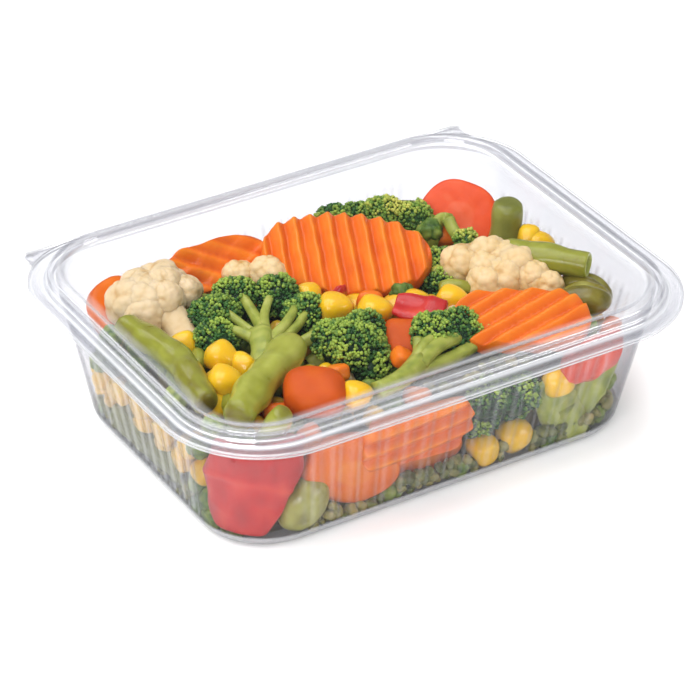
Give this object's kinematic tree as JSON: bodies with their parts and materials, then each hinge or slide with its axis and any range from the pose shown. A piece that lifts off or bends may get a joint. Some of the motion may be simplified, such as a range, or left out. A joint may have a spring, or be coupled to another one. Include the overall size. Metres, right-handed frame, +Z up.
{
  "type": "takeaway meal container",
  "caption": "Shut clear hinged takeaway box with fluted walls and a ridged lid, filled with mixed cooked vegetables.",
  "frame": {"origin": "on the floor, under the centre of the box's outline", "axes": "+Z up, X along the long side, +Y towards the fold that hinges the lid"},
  "size_m": [0.187, 0.148, 0.0546],
  "materials": {
    "clear_plastic": "clear gloss sheet",
    "carrot": "moist cooked carrot",
    "carrot_red": "moist cooked carrot, redder",
    "cauliflower": "cooked cauliflower",
    "broccoli": "cooked broccoli, dark crown",
    "broccoli_pale": "cooked broccoli, pale stem and buds",
    "bean": "cooked green bean",
    "bean_dark": "cooked green bean, darker",
    "corn": "cooked maize kernel",
    "pepper": "cooked red pepper",
    "olive": "green olive",
    "mixed_vegetables": "small mixed vegetables"
  },
  "bodies": {
    "box": {"tray": "clear_plastic", "carrot_slice_large": "carrot", "bean_thick": "bean", "bean_left": "bean", "broccoli_middle": "broccoli", "broccoli_front": "broccoli", "broccoli_large": "broccoli", "cauliflower_left": "cauliflower", "bean_right": "bean", "cauliflower_right": "cauliflower", "carrot_slice_right": "carrot", "pepper_top": "pepper", "carrot_lump_front": "carrot_red", "carrot_lump_middle": "carrot_red", "carrot_slice_back_left": "carrot_red", "carrot_slice_far_left": "carrot", "carrot_slice_round": "carrot_red", "bean_upright": "bean_dark", "olive_right_a": "olive", "olive_right_b": "olive", "broccoli_back_dark": "broccoli", "broccoli_back_pale": "broccoli_pale", "bean_back": "bean_dark", "broccoli_stem": "broccoli_pale", "broccoli_right_small": "broccoli", "cauliflower_small": "cauliflower", "stem_front_left": "broccoli_pale", "olive_front": "olive", "pepper_corner": "pepper", "carrot_slice_front_top": "carrot", "carrot_slice_front_low": "carrot", "carrot_slice_front_right": "carrot_red", "broccoli_front_wall": "broccoli", "broccoli_front_right": "broccoli_pale", "pepper_right": "pepper", "carrot_corner_right": "carrot", "carrot_slice_right_wall": "carrot", "bean_right_wall": "bean", "carrot_slice_back_wall": "carrot", "broccoli_back_wall": "broccoli", "pepper_back_wall": "pepper", "bean_left_wall": "bean_dark", "corn_kernel_1": "corn", "corn_kernel_2": "corn", "corn_kernel_3": "corn", "corn_kernel_4": "corn", "corn_kernel_5": "corn", "corn_kernel_6": "corn", "corn_kernel_7": "corn", "corn_kernel_8": "corn", "corn_kernel_9": "corn", "corn_kernel_10": "corn", "corn_kernel_11": "corn", "corn_kernel_12": "corn", "corn_kernel_13": "corn", "corn_kernel_14": "corn", "corn_kernel_15": "corn", "vegetable_heap": "mixed_vegetables"},
    "lid": {"lid": "clear_plastic"}
  },
  "joints": [
    {"name": "lid_hinge", "type": "hinge", "parent": "box", "child": "lid", "pos_m": [0, 0.0742, 0.04915], "axis": [-1, 0, 0], "range_deg": [0, 180]}
  ]
}
